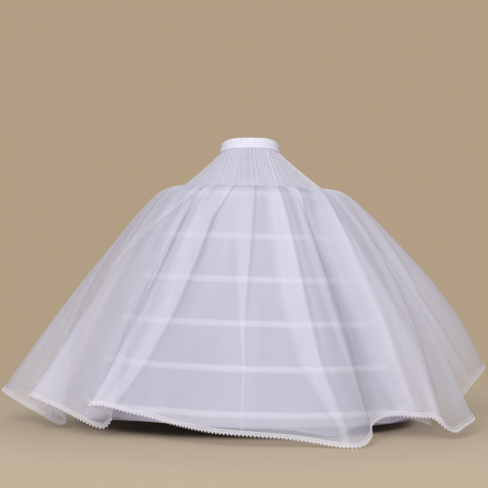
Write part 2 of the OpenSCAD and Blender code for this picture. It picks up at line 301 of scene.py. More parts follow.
@dataclass(frozen=True)
class WovenCloth:
    """A plain-woven cloth: a fine crossing weave in the bump, slow changes of shade, and sheen.

    Rows of stitches, given by their places down the cloth in metres, sink a groove with
    short thread dashes in it, and shade is painted into the groove, less along the dashes.
    Real threads lie some 0.3 mm apart, and here they are drawn coarser so that the weave shows.
    """

    name: str
    colour: str
    shade: str
    thread: float = 1.2 * MM
    slub: float = 60 * MM
    roughness: float = 0.75
    rough_spread: float = 0.08
    sheen: float = 0.25
    bump: float = 0.25
    relief: float = 0.4 * MM
    weave_tint: float = 0.1
    slub_tint: float = 0.8
    weave_height: float = 0.5
    slub_height: float = 0.6
    stitch_rows: tuple[float, ...] = ()
    stitch_length: float = 4.0 * MM
    stitch_half: float = 1.2 * MM
    groove_blend: float = 0.2
    groove_height: float = 2.2
    painted_groove_shade: float = 0.5
    dash_level: float = -0.3
    dash_height: float = 0.6
    dash_shade_cut: float = 0.15
    painted_gather_light: float = 0.0

    def material(self) -> bpy.types.Material:
        """Builds the material from the cloth's own flat coordinates, in metres.

        Returns:
            The new material.
        """
        made, tree, shader = new_material(self.name)
        node = partial(add_node, tree)
        shader.inputs["Sheen Weight"].default_value = self.sheen
        shader.inputs["Sheen Roughness"].default_value = 0.4
        shader.inputs["Specular IOR Level"].default_value = 0.3
        flat = node("UVMap", uv_map="flat")
        parts = node("SeparateXYZ", flat)
        across, down = parts.outputs["X"], parts.outputs["Y"]
        turn = 2 * math.pi / self.thread
        warp, weft = (node("Math", node("Math", way, turn, operation="MULTIPLY"), operation="SINE")
                      for way in (across, down))
        weave = node("Math", warp, weft, operation="MULTIPLY")
        # Slubs and slow shade changes, as cloth that was pressed and worn has
        slow = node("TexNoise", named={
            "Vector": flat, "Scale": 1 / self.slub, "Detail": 4.0, "Roughness": 0.6})
        faint = node("Math", weave, self.weave_tint, operation="MULTIPLY")
        tint = node("Math", slow, self.slub_tint, faint, operation="MULTIPLY_ADD")
        low = node("Math", slow, self.slub_height, operation="MULTIPLY")
        height = node("Math", weave, self.weave_height, low, operation="MULTIPLY_ADD")
        if self.painted_gather_light:
            # Painted light and shade: raised gathers are painted paler, as the light catches them, and the
            # hollows between them darker
            raised = node("Attribute", attribute_name="raised").outputs["Fac"]
            tint = node("Math", raised, self.painted_gather_light, tint, operation="MULTIPLY_ADD")
        for row in self.stitch_rows:
            # The groove is deepest on the row, and thread partly fills it along each dash
            away = node("Math", node("Math", down, row, operation="SUBTRACT"), operation="ABSOLUTE")
            share = node("Math", away, self.stitch_half, operation="DIVIDE")
            limited = node("Math", 1.0, share, self.groove_blend, operation="SMOOTH_MIN")
            near = node("Math", 1.0, limited, operation="SUBTRACT")
            beat = node("Math", across, 2 * math.pi / self.stitch_length, operation="MULTIPLY")
            wave = node("Math", beat, operation="SINE")
            dash = node("Math", wave, self.dash_level, operation="GREATER_THAN")
            sunk = node("Math", dash, -self.dash_height, self.groove_height, operation="MULTIPLY_ADD")
            groove = node("Math", near, sunk, operation="MULTIPLY")
            height = node("Math", height, groove, operation="SUBTRACT")
            # Painted shade: the groove is darkened in the colour, less along the dashes where thread fills
            # it
            dark = node("Math", dash, -self.dash_shade_cut, self.painted_groove_shade, operation="MULTIPLY_ADD")
            shaded = node("Math", near, dark, operation="MULTIPLY")
            tint = node("Math", tint, shaded, operation="SUBTRACT")
        mixed = node("Mix", data_type="RGBA", named={
            "Factor": tint, "A": linear(self.shade), "B": linear(self.colour)})
        tree.links.new(mixed.outputs["Result"], shader.inputs["Base Color"])
        rough = node("MapRange", named={"Value": slow, "To Min": self.roughness - self.rough_spread,
                                        "To Max": self.roughness + self.rough_spread})
        tree.links.new(rough.outputs[0], shader.inputs["Roughness"])
        relief = node("Bump", named={"Strength": self.bump, "Distance": self.relief, "Height": height})
        tree.links.new(relief.outputs[0], shader.inputs["Normal"])
        return made


@dataclass(frozen=True)
class Tulle:
    """Stiff nylon net: threads that cover part of what lies behind, more where it is gathered.

    The mesh's holes are about 1.5 mm across, too fine to show, so they are drawn 4 mm
    across as a faint diamond pattern.
    """

    name: str
    colour: str
    shade: str
    cover: float
    panel_width: float
    seam_place: float
    hem_place: float
    hem_width: float = 3.0 * MM
    hem_layers: float = 1.2
    seam_width: float = 5.0 * MM
    seam_layers: float = 0.05
    hole: float = 4.0 * MM
    thread_power: float = 3.0
    thread_share: float = 0.14
    even_share: float = 0.78
    crease_share: float = 0.3
    crease_width: float = 140 * MM
    crease_length: float = 450 * MM
    painted_fold_shade: str = "#A5A4BC"
    painted_fold_depth: float = 0.38
    through: float = 0.15
    bump: float = 0.1
    relief: float = 0.5 * MM

    def material(self) -> bpy.types.Material:
        """Builds the sheer material.

        The share that the net covers is 1 - (1 - cover) ** layers. Layers are the width of
        cloth that is gathered into each width of skirt, stored as "gathered", made uneven by
        threads and creases, with a little more at seams and at the hem.

        Returns:
            The new material.
        """
        made, tree, shader = new_material(self.name)
        node = partial(add_node, tree)
        shader.inputs["Roughness"].default_value = 0.7
        shader.inputs["Specular IOR Level"].default_value = 0.25
        shader.inputs["Sheen Weight"].default_value = 0.1
        flat = node("UVMap", uv_map="flat")
        parts = node("SeparateXYZ", flat)
        across, down = parts.outputs["X"], parts.outputs["Y"]
        gathered = node("Attribute", attribute_name="gathered").outputs["Fac"]
        sloped = []
        for way in ("ADD", "SUBTRACT"):
            slope = node("Math", across, down, operation=way)
            beat = node("Math", slope, math.pi / self.hole, operation="MULTIPLY")
            wave = node("Math", beat, operation="SINE")
            near = node("Math", wave, operation="ABSOLUTE")
            sloped.append(node("Math", near, self.thread_power, operation="POWER"))
        threads = node("Math", *sloped, operation="MAXIMUM")
        # Stiff net keeps soft creases from folding, long down the skirt and narrow across it
        creased = node("Mapping", named={
            "Vector": flat, "Scale": (1 / self.crease_width, 1 / self.crease_length, 1.0)})
        crease = node("TexNoise", named={"Vector": creased, "Scale": 1.0, "Detail": 3.0, "Roughness": 0.55})
        woven = node("Math", threads, self.thread_share, self.even_share, operation="MULTIPLY_ADD")
        cloudy = node("Math", crease, self.crease_share, woven, operation="MULTIPLY_ADD")
        # Panels are joined by narrow seams, and the cut edge is rolled
        moved = node("Math", across, self.seam_place, operation="SUBTRACT")
        beside = node("Math", moved, self.panel_width / 2, operation="PINGPONG")
        seam = node("Math", beside, self.seam_width / 2, operation="LESS_THAN")
        hem = node("Math", down, self.hem_place - self.hem_width, operation="GREATER_THAN")
        sewn = node("Math", seam, self.seam_layers, operation="MULTIPLY")
        added = node("Math", hem, self.hem_layers, sewn, operation="MULTIPLY_ADD")
        layers = node("Math", node("Math", gathered, cloudy, operation="MULTIPLY"), added, operation="ADD")
        bare = node("Math", 1.0 - self.cover, layers, operation="POWER")
        alpha = node("Math", 1.0, bare, operation="SUBTRACT")
        # Painted shade: the net's colour is darker in the hollows of the soft creases
        pale = node("Mix", data_type="RGBA", named={
            "Factor": crease, "A": linear(self.shade), "B": linear(self.colour)}).outputs["Result"]
        # Painted shade: under a pleat's edge the net's colour is darkened, for the shade that it lies in
        # there
        folded = node("Attribute", attribute_name="creased").outputs["Fac"]
        mixed = node("Mix", data_type="RGBA", named={
            "Factor": node("Math", folded, self.painted_fold_depth, operation="MULTIPLY"), "A": pale,
            "B": linear(self.painted_fold_shade)}).outputs["Result"]
        tree.links.new(mixed, shader.inputs["Base Color"])
        relief = node("Bump", named={"Strength": self.bump, "Distance": self.relief, "Height": crease})
        tree.links.new(relief.outputs[0], shader.inputs["Normal"])
        # Round threads pass light on as well as back, so net is lit through from either side
        passed = node("BsdfTranslucent", named={"Color": mixed})
        lit = node("MixShader", self.through, shader.outputs["BSDF"], passed)
        sheer = node("MixShader", alpha, node("BsdfTransparent"), lit)
        tree.links.new(sheer.outputs[0], tree.nodes["Material Output"].inputs["Surface"])
        return made


@dataclass(frozen=True)
class LaceNet:
    """Cotton lace ground: a net with worked spots in it, seen more open than its cords.

    Holes and spots are drawn coarser than real ones so that they show.
    """

    name: str
    colour: str
    shade: str = "#DCDAE4"
    spot: float = 6.0 * MM
    hole: float = 2.5 * MM
    thread_level: float = 0.86
    spot_level: float = 0.3
    solid_cover: float = 0.5
    hole_cover: float = 0.08
    grain: float = 3.0 * MM
    bump: float = 0.4
    relief: float = 0.4 * MM

    def material(self) -> bpy.types.Material:
        """Builds the material: threads and spots are more solid, holes are open.

        Returns:
            The new material.
        """
        made, tree, shader = new_material(self.name)
        node = partial(add_node, tree)
        shader.inputs["Roughness"].default_value = 0.85
        shader.inputs["Specular IOR Level"].default_value = 0.2
        flat = node("UVMap", uv_map="flat")
        parts = node("SeparateXYZ", flat)
        across, down = parts.outputs["X"], parts.outputs["Y"]
        sloped = []
        for way in ("ADD", "SUBTRACT"):
            slope = node("Math", across, down, operation=way)
            beat = node("Math", slope, math.pi / self.hole, operation="MULTIPLY")
            wave = node("Math", beat, operation="SINE")
            sloped.append(node("Math", wave, operation="ABSOLUTE"))
        threads = node("Math", *sloped, operation="MAXIMUM")
        turn = 2 * math.pi / self.spot
        beats = [node("Math", node("Math", way, turn, operation="MULTIPLY"), operation="SINE")
                 for way in (across, down)]
        spots = node("Math", *beats, operation="MULTIPLY")
        thick = node("Math", threads, self.thread_level, operation="GREATER_THAN")
        worked = node("Math", spots, self.spot_level, operation="GREATER_THAN")
        solid = node("Math", thick, worked, operation="MAXIMUM")
        alpha = node("Math", solid, self.solid_cover, self.hole_cover, operation="MULTIPLY_ADD")
        tree.links.new(alpha.outputs[0], shader.inputs["Alpha"])
        grain = node("TexNoise", named={"Vector": flat, "Scale": 1 / self.grain, "Detail": 2.0})
        mixed = node("Mix", data_type="RGBA", named={
            "Factor": grain, "A": linear(self.shade), "B": linear(self.colour)})
        tree.links.new(mixed.outputs["Result"], shader.inputs["Base Color"])
        relief = node("Bump", named={"Strength": self.bump, "Distance": self.relief, "Height": threads})
        tree.links.new(relief.outputs[0], shader.inputs["Normal"])
        return made


@dataclass(frozen=True)
class MouldedPlastic:
    """Smooth moulded or coated plastic: soft gloss with faint blotches from its making."""

    name: str
    colour: str
    shade: str
    roughness: float = 0.4
    rough_spread: float = 0.08
    blotch: float = 8 * MM
    bump: float = 0.1
    relief: float = 0.2 * MM

    def material(self) -> bpy.types.Material:
        """Builds the material on Object coordinates.

        Returns:
            The new material.
        """
        made, tree, shader = new_material(self.name)
        node = partial(add_node, tree)
        shader.inputs["IOR"].default_value = 1.5
        place = node("TexCoord").outputs["Object"]
        blotch = node("TexNoise", named={"Vector": place, "Scale": 1 / self.blotch, "Detail": 3.0})
        mixed = node("Mix", data_type="RGBA", named={
            "Factor": blotch, "A": linear(self.shade), "B": linear(self.colour)})
        tree.links.new(mixed.outputs["Result"], shader.inputs["Base Color"])
        rough = node("MapRange", named={"Value": blotch, "To Min": self.roughness - self.rough_spread,
                                        "To Max": self.roughness + self.rough_spread})
        tree.links.new(rough.outputs[0], shader.inputs["Roughness"])
        relief = node("Bump", named={"Strength": self.bump, "Distance": self.relief, "Height": blotch})
        tree.links.new(relief.outputs[0], shader.inputs["Normal"])
        return made


# Pieces


@dataclass(frozen=True)
class Cage:
    """Shared sizes of the hip seam, the cone and its hoops, as in the CAD."""

    seam_drop: float = 183 * MM
    seam_radius: float = 260 * MM
    slope: float = math.radians(23.2)
    lean: float = math.radians(1.6)
    cloth: float = 1.2 * MM
    gap: float = 0.3 * MM
    top_hoop: float = 30 * MM
    hoop_spacing: float = 153.5 * MM
    hoop_count: int = 6
    hem_margin: float = 38.5 * MM

    @property
    def hem_drop(self) -> float:
        """Drop of the underskirt's hem."""
        return self.hoop_drop(self.hoop_count - 1) + self.hem_margin

    @property
    def hem_radius(self) -> float:
        """Radius of the underskirt's hem."""
        return self.skirt_radius(self.hem_drop)

    def hoop_drop(self, index: int) -> float:
        """Drop of the hoop numbered from 0 at the top."""
        return self.seam_drop + self.top_hoop + index * self.hoop_spacing

    def skirt_radius(self, drop: np.ndarray | float) -> np.ndarray | float:
        """Radius of the underskirt's outer face at a drop."""
        top_radius = self.seam_radius + self.cloth / 2
        return top_radius + (drop - self.seam_drop - self.gap) * math.tan(self.slope)

    def leaned(self, points: np.ndarray) -> np.ndarray:
        """Points turned sideways about the middle of the underskirt's height.

        Args:
            points: array of any shape that ends with xyz.

        Returns:
            Array of the same shape.
        """
        pivot = (self.seam_drop + self.hem_drop) / 2
        up = points[..., 2] + pivot
        x = points[..., 0] * math.cos(self.lean) + up * math.sin(self.lean)
        z = up * math.cos(self.lean) - points[..., 0] * math.sin(self.lean) - pivot
        return np.stack([x, points[..., 1], z], -1)


# Places down the yoke, and how strong its gathers are there
GATHER_FADE = ((0, 0), (0.06, 1), (0.35, 0.9), (0.8, 0.7), (1, 0.3))


@dataclass
class Waist:
    """Elastic waistband and the gathered yoke that hangs from it."""

    cage: Cage
    width: float = 196 * MM
    depth: float = 158 * MM
    dip: float = 15 * MM
    dip_power: float = 4.0
    band_height: float = 38 * MM
    band_flare: float = 8 * MM
    band_half: float = 2.1 * MM
    band_slot: float = 0.9 * MM
    pucker: float = 1.0 * MM
    least_pucker: float = 0.15
    ridge_pucker: float = 0.25
    hidden_depth: float = 0.6
    ridge: float = 2.0 * MM
    ridges: int = 4
    ridge_power: float = 0.7
    ridge_middle: float = 0.4
    inner_ridge: float = 0.5
    gathers: int = 44
    gather_depth: float = 3.5 * MM
    yoke_ridges: int = 31
    fine_ridges: int = 48
    side_gathers: float = 0.05
    side_fan: float = math.radians(14)
    ridge_weight: float = 3.8
    fine_weight: float = 1.4
    yoke_tuck: float = 10 * MM
    yoke_sag: float = 4 * MM
    yoke_cloth: float = 0.8 * MM
    leg_start: float = 0.035
    leg_rows: int = 34
    fold_rows: int = 7
    tuck_rows: tuple[float, float] = (-0.14, -0.07)
    yoke_rows: int = 46
    row_power: float = 1.15
    columns: int = 528
    band_flat: tuple[float, float] = (0.74, 0.084)
    yoke_flat: tuple[float, float] = (1.63, 0.215)
    yoke_area: float = 0.27

    def point(self, turn: np.ndarray, out: np.ndarray, down: np.ndarray, pucker: np.ndarray) -> np.ndarray:
        """Points on the waist oval.

        Args:
            turn: azimuth from the front, in radians.
            out: distance out from the oval's middle line.
            down: distance below the waist's edge.
            pucker: how far the puckers stand out there.

        Returns:
            Points: the oval, moved along its normal by out, pucker and the band's flare, with
            its sides dipped.
        """
        a = self.width / 2 + self.band_half + self.pucker
        b = self.depth / 2 + self.band_half + self.pucker
        normal = np.stack([b * np.sin(turn), -a * np.cos(turn)], -1)
        normal = normal / np.linalg.norm(normal, axis=-1, keepdims=True)
        reach = out + pucker + self.band_flare * down / self.band_height
        dip = self.dip * np.sin(turn) ** self.dip_power
        return np.stack(np.broadcast_arrays(a * np.sin(turn) + normal[..., 0] * reach,
                                            -b * np.cos(turn) + normal[..., 1] * reach, -down - dip), -1)

    def turns(self) -> np.ndarray:
        """Azimuths of the columns."""
        return np.linspace(0, 2 * math.pi, self.columns, endpoint=False)

    def puckers(self, turn: np.ndarray) -> np.ndarray:
        """Puckers round the band: one wave for each gather, uneven in place and strength.

        Args:
            turn: azimuths in radians.

        Returns:
            Heights from -1 to 1.
        """
        sway = uneven_waves(SEED, turn, (3, 5, 8, 13), 0.1, 0.35)
        strength = 0.75 + 0.25 * np.sin(7 * turn + 1.0) * np.sin(11 * turn + 2.0)
        return strength * np.cos(self.gathers * turn + sway)

    def band(self) -> bpy.types.Object:
        """Waistband: a folded strip's section carried round the oval.

        The outer leg swells between its rows of stitches as the absolute value of a sine,
        and the puckers are deepest midway between the rows.

        Returns:
            The waistband.
        """
        turn = self.turns()[None, :]
        leg = np.linspace(self.leg_start, 1, self.leg_rows)
        swell = np.abs(np.sin(math.pi * self.ridges * leg)) ** self.ridge_power
        rise = swell - self.ridge_middle
        down = leg * self.band_height
        round_over = 0.5 * (1 - np.cos(np.linspace(0, math.pi, self.fold_rows)))[1:-1]
        outer = np.stack([self.band_half + self.ridge * rise, down], 1)
        slot = np.array([[self.band_slot, self.band_height], [self.band_slot, 2 * self.band_half],
                         [-self.band_slot, 2 * self.band_half], [-self.band_slot, self.band_height]])
        inner = np.stack([-self.band_half - self.inner_ridge * self.ridge * rise, down], 1)[::-1]
        over = np.stack([np.interp(round_over, [0, 1], [inner[-1, 0], outer[0, 0]]),
                         down[0] * (1 - np.sin(math.pi * round_over))], 1)
        section = np.concatenate([outer, slot, inner, over])
        depth = np.concatenate([swell, np.full(len(slot), self.hidden_depth), swell[::-1],
                                np.full(len(over), self.hidden_depth)])
        strength = self.least_pucker + self.ridge_pucker * depth[:, None]
        pucker = self.pucker * strength * self.puckers(turn)
        points = self.point(turn, section[:, :1], section[:, 1:], pucker)
        return grid_object("waistband_cloth", points, flat_uv(points, True), True)

    def yoke(self) -> bpy.types.Object:
        """Yoke: straight lines from the waist oval to the hip seam, with gathers that fade.

        Each line runs from the oval to the round seam, straighter down in front than at the
        sides. Gathers are narrow ridges, a power of 1 - |sine|, that stand out along the
        radius, strongest just below the band and in front. A product of two sines makes some
        stronger than others, and finer ridges among them die away down the yoke.

        Returns:
            The yoke.
        """
        turn = self.turns()[None, :]
        hip_turn = turn - self.side_fan * np.sin(2 * turn)
        way = np.concatenate([self.tuck_rows, np.linspace(0, 1, self.yoke_rows) ** self.row_power])[:, None]
        wave = self.pucker * np.cos(self.gathers * turn)
        top = self.point(turn, 0.0, self.band_height + self.cage.cloth, wave)
        tuck = self.point(turn, 0.0, self.band_height - self.yoke_tuck, wave)
        seam = np.float64(self.cage.seam_radius), np.float64(self.cage.seam_drop)
        hip = self.cage.leaned(around(hip_turn, *seam))
        down = np.clip(way, 0, 1)
        line = top * (1 - down[..., None]) + hip * down[..., None]
        line = np.where(way[..., None] < 0, top + (tuck - top) * (way[..., None] / way[0, 0]), line)
        fade = np.interp(way, *zip(*GATHER_FADE))
        front = np.cos(turn) ** 2
        kept = self.side_gathers + (1 - self.side_gathers) * front ** 3
        sway = uneven_waves(SEED + 1, turn, (4, 7, 9, 15), 0.2, 0.6)
        strength = np.clip(0.65 + 0.75 * np.sin(13 * turn + sway) * np.sin(9 * turn + 2.2), 0.1, 1.3)
        narrow = (1 - np.abs(np.sin(self.yoke_ridges * turn + 1.5 * sway))) ** 1.5
        fine = (1 - np.abs(np.sin(self.fine_ridges * turn - 2.5 * sway + 0.6 * down))) ** 2
        fine = fine * np.exp(-down * 1.5)
        sag = -self.yoke_sag * np.sin(math.pi * down) * (1 - 0.4 * front)
        gathered = fade * kept * (self.ridge_weight * strength * narrow - 1.0 + self.fine_weight * fine)
        out = self.gather_depth * gathered + sag
        points = line + around(turn * (1 - down) + hip_turn * down, out, np.float64(0))
        made = grid_object("yoke_cloth", points, flat_uv(points))
        # Stored for the yoke's painted light and shade: paler on the gathers' ridges, darker between them
        point_attribute(made, "raised", gathered)
        thicken(made, self.yoke_cloth)
        return made

    def dress(self, cotton: WovenCloth, taffeta: WovenCloth) -> None:
        """Args:
            cotton: finish of the waistband.
            taffeta: finish of the yoke.
        """
        band, yoke = self.band(), self.yoke()
        band.data.materials.append(cotton.material())
        yoke.data.materials.append(taffeta.material())
        stands_for(band, Slot.COTTON, "waistband")
        stands_for(yoke, Slot.TAFFETA, "yoke")


@dataclass
class Underskirt:
    """White cone underskirt with six hoop casings sewn round it."""

    cage: Cage
    columns: int = 360
    rows: int = 130
    section_rows: int = 25
    sag: float = 4.0 * MM
    wrinkle_share: float = 0.5
    wrinkle_drift: float = 1.5
    cone_cloth: float = 0.8 * MM
    casing_height: float = 24 * MM
    tape_width: float = 30 * MM
    tape_wander: float = 0.8 * MM
    pocket_depth: float = 4.0 * MM
    pocket_half: float = 6.5 * MM
    pocket_spread: float = 1.35
    pocket_extra: float = 0.2 * MM
    pocket_lining: float = 0.97
    tape_share: float = 0.8

    def cone(self) -> bpy.types.Object:
        """Cone cloth that sags in a little between hoops, as a squared sine, with soft wrinkles.

        Returns:
            The cone.
        """
        turn = np.linspace(0, 2 * math.pi, self.columns, endpoint=False)[None, :]
        drop = np.linspace(self.cage.seam_drop + self.cage.gap, self.cage.hem_drop, self.rows)[:, None]
        step = (drop - self.cage.hoop_drop(0)) / self.cage.hoop_spacing
        between = np.where((step > 0) & (step < self.cage.hoop_count - 1), np.sin(math.pi * step) ** 2, 0)
        wrinkle = uneven_waves(SEED + 2, turn, (9, 14, 23, 31), 0.2, 0.6, self.wrinkle_drift * step)
        sag = between * self.sag * (1 + self.wrinkle_share * wrinkle)
        radius = self.cage.skirt_radius(drop) - self.cage.cloth / 2 - sag
        points = self.cage.leaned(around(turn, radius, drop))
        made = grid_object("underskirt_cloth", points, flat_uv(points))
        thicken(made, self.cone_cloth)
        return made

    def casing(self, index: int) -> bpy.types.Object:
        """Casing: a strip's section carried round the cone, flat at its edges and raised midway.

        Its outer face rises as a flat-topped bump, exp(-(y / half) ** 4), and both edges
        wander a little as hand-fed tape does.

        Args:
            index: hoop number from 0 at the top.

        Returns:
            The casing.
        """
        turn = np.linspace(0, 2 * math.pi, self.columns, endpoint=False)[None, :]
        drop = self.cage.hoop_drop(index)
        edge = self.casing_height / 2
        place = np.linspace(-1, 1, self.section_rows)
        raised = np.exp(-(place * edge / (self.pocket_spread * self.pocket_half)) ** 4)
        face = self.cage.gap + self.cage.cloth * self.tape_share
        face = face + raised * (self.pocket_depth + self.pocket_extra)
        lining = self.cage.gap + raised * self.pocket_depth * self.pocket_lining
        out = np.concatenate([face, lining[::-1]])[:, None]
        along = np.concatenate([place, place[::-1]])[:, None]
        wander = self.tape_wander * uneven_waves(SEED + 10 + index, turn, (5, 12, 19), -1, 1)
        up = -along * edge + wander
        level, steep = math.cos(self.cage.slope), math.sin(self.cage.slope)
        radius = self.cage.skirt_radius(drop) + out * level - up * steep
        height = drop - out * steep - up * level
        points = self.cage.leaned(around(turn, radius, height))
        return grid_object(f"casing_{index + 1}", points, flat_uv(points, True), True)

    def dress(self, taffeta: WovenCloth, tape: WovenCloth, bone: MouldedPlastic,
              joiner: MouldedPlastic) -> None:
        """Args:
            taffeta: finish of the cone.
            tape: finish of the casings.
            bone: finish of the hoops.
            joiner: finish of the sleeves that join the hoops' ends.
        """
        cone = self.cone()
        cone.data.materials.append(taffeta.material())
        stands_for(cone, Slot.TAFFETA, "underskirt")
        low = 2 * math.pi * self.cage.hem_radius
        slant = (self.cage.hem_drop - self.cage.seam_drop) / math.cos(self.cage.slope)
        tape_finish, bone_finish, joiner_finish = tape.material(), bone.material(), joiner.material()
        for index in range(self.cage.hoop_count):
            casing = self.casing(index)
            casing.data.materials.append(tape_finish)
            stands_for(casing, Slot.TAPE, f"hoop_casing_{index + 1}")
            length = 2 * math.pi * self.cage.skirt_radius(self.cage.hoop_drop(index))
            wear(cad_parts[f"hoop_{index + 1}"], bone_finish)
            wear(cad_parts[f"hoop_joiner_{index + 1}"], joiner_finish)


# Outer net folds from the left of the front: azimuth at the seam, azimuth at the hem, how
# far the bell stands out there past its usual reach, and how far the hem hangs lower, both
# in thousandths of the underskirt's hem radius
PLAIN_FOLDS = (
    (-16, -22, -120, -15), (-8, -9, -35, 25), (0, 0, -10, 40), (7, 8, 0, 55), (12, 13.5, 15, 75),
    (17, 19, 95, 95), (21, 22.5, 100, 90), (24, 26, 55, 50), (26, 29.5, -50, 5), (29, 35, -120, -20),
    (34, 39.5, -95, -30), (39, 42.5, -10, -25), (43, 44, 80, -20), (46, 45.5, 105, 35), (49, 49, 85, 60),
    (54, 55, 65, 40), (58, 62, 55, 15), (61, 65, -15, 0), (65, 72, -135, -5), (70, 82, -140, -15),
    (77, 92, 20, -120), (84, 100, 185, -200), (90, 106, 240, -210), (95, 112, 160, -150),
    (100, 118, 0, -65), (106, 124, -90, -15), (114, 131, 15, -25), (121, 138, 145, -55),
    (128, 144, 0, 0), (135, 150, -115, 30), (143, 157, 15, 0), (150, 164, 120, -30),
    (157, 170, 0, 10), (164, 176, -115, 35), (172, 183, 15, 0), (180, 190, 130, -30),
    (187, 197, 15, 0), (194, 204, -105, 30), (202, 212, 15, 0), (210, 221, 145, -40),
    (218, 230, 30, -10), (225, 238, -90, 15), (233, 247, 30, -25), (241, 257, 160, -75),
)

# Folds at the left, which open into deep flutes late, near the hem: the fifth value is how far
# the bell stands out above the flutes. A scratch script worked these rows out from points of
# the hem, and they were then rounded.
FLUTED_FOLDS = (
    (250, 269, 185, -90, 185), (257, 274, 35, -35, 135), (265, 279, -115, 30, 75),
    (273, 286, -210, 80, 30), (278, 291.5, -220, 35, -20), (285, 294, -65, -45, -30),
    (290, 295, 105, -105, -35), (295, 299, 40, -85, -50), (300, 304, -55, -45, -70),
    (306, 310, -125, 5, -85), (310, 314, -170, 40, -95), (313, 317, -195, 45, -100),
    (317, 319.5, -185, -25, -105), (321, 320, -45, -65, -105), (326, 320, 90, -90, -105),
    (330, 323, 45, -95, -110), (334, 328, -35, -65, -110), (340, 334, -105, -35, -115),
)
OUTER_FOLDS = tuple((*fold, fold[2]) for fold in PLAIN_FOLDS) + FLUTED_FOLDS

# Inner net flutes from the front, with the same values but one azimuth
INNER_FOLDS = tuple((azimuth, azimuth, reach, lower, reach) for azimuth, reach, lower in (
    (0, -40, 5), (12, -20, 15), (22, 90, 40), (30, 15, 15), (37, -30, -5), (44, 20, 0),
    (52, 40, -15), (57, 115, 25), (64, 30, 0), (76, -40, -15), (90, 50, -40), (103, 120, -65),
    (116, 15, -25), (130, -30, 0), (145, 65, -15), (160, -30, 10), (175, 55, -15), (190, -30, 10),
    (205, 65, -15), (220, -30, 5), (236, 50, -15), (252, 0, -10), (268, 65, -30), (282, 0, -15),
    (298, 15, -10), (314, -55, -10), (328, -50, -15), (344, -35, -5),
))

# Falls at which a pleat's edge and width are given, how soon plain pleats swing round, and
# the width of a crease in radians
PLEAT_FALLS = (0.0, 0.15, 0.3, 0.5, 0.75, 1.0)
PLEAT_SWING = 0.7
PLEAT_LINE = math.radians(0.6)


@dataclass(frozen=True)
class Pleat:
    """Knife pleat, where the net lies three deep: a crisp edge and a strip that fades behind it.

    The edge's azimuths and the strip's widths are in degrees, at the falls in PLEAT_FALLS.
    The shade painted along the crease is at its darkest where the strip is at least full_width, in radians.
    """

    edge: tuple[float, ...]
    width: tuple[float, ...]
    layers: float = 1.0
    full_width: float = math.radians(6)

    def lie(self, azimuth: np.ndarray, fall: np.ndarray) -> tuple[np.ndarray, np.ndarray]:
        """How much of the pleat lies at each point, and how dark the shade painted along its crease is.

        The pleat rises over a twelfth of the strip at the crisp edge, and dies away as a
        smooth step over the half of the strip that is furthest from it. The painted crease
        shade is a narrow bell curve just outside the edge, and fainter where the strip is narrow.

        Args:
            azimuth: azimuths in radians.
            fall: falls, 0 at the seam and 1 at the hem.

        Returns:
            Two arrays, both from 0 to 1.
        """
        edge = np.radians(np.interp(fall, PLEAT_FALLS, self.edge))
        width = np.radians(np.interp(fall, PLEAT_FALLS, self.width)) + 1e-4
        behind = (edge - azimuth + math.pi) % (2 * math.pi) - math.pi
        rise = np.clip(behind / width * 12, 0, 1)
        lost = np.clip(behind / width * 2 - 1, 0, 1)
        # Painted shade along the crease: a narrow line just outside the pleat's edge
        line = np.exp(-((behind + PLEAT_LINE) / PLEAT_LINE) ** 2)
        crease = line * np.clip(width / self.full_width, 0, 1)
        return rise * (1 - lost * lost * (3 - 2 * lost)), crease


# Pleats seen in front, from left to right, and plainer ones round the sides and back
FRONT_PLEATS = (
    Pleat((-33, -50, -64, -67, -68, -68), (8, 10, 9, 6, 4, 2), 0.6),
    Pleat((-28, -36, -40, -43, -46, -48), (9, 9, 8, 6, 4, 2), 0.5),
    Pleat((-13, -20, -22, -25, -30, -36), (12, 13, 13, 8, 5, 3), 1.1),
    Pleat((1, 0, -1, -2, -2, -2), (11, 11, 7, 3, 0.5, 0.2), 0.8),
    Pleat((16, 16, 16, 16, 17, 20), (10, 10, 10, 9, 6, 2), 1.1),
    Pleat((31, 27, 25, 24, 25, 27), (6, 7, 6, 4, 2, 1), 0.7),
    Pleat((49, 44, 42, 42, 42, 43), (13, 14, 14, 12, 8, 3), 1.1),
    Pleat((61, 60, 57, 52, 48, 45), (8, 8, 7, 6, 4, 2), 0.9),
    Pleat((86, 85, 84, 83, 88, 96), (10, 10, 9, 8, 6, 3), 1.0),
)
SIDE_PLEATS = tuple(
    Pleat(tuple(start + swing * fall ** PLEAT_SWING for fall in PLEAT_FALLS),
          (wide, wide, wide - 1, wide - 3, 4, 2))
    for start, swing, wide in (
        (104, 14, 10), (122, 14, 12), (141, 13, 9), (158, 12, 11), (176, 11, 10),
        (195, 10, 12), (213, 12, 9), (231, 15, 11), (249, 18, 10), (267, 16, 9),
    )
)


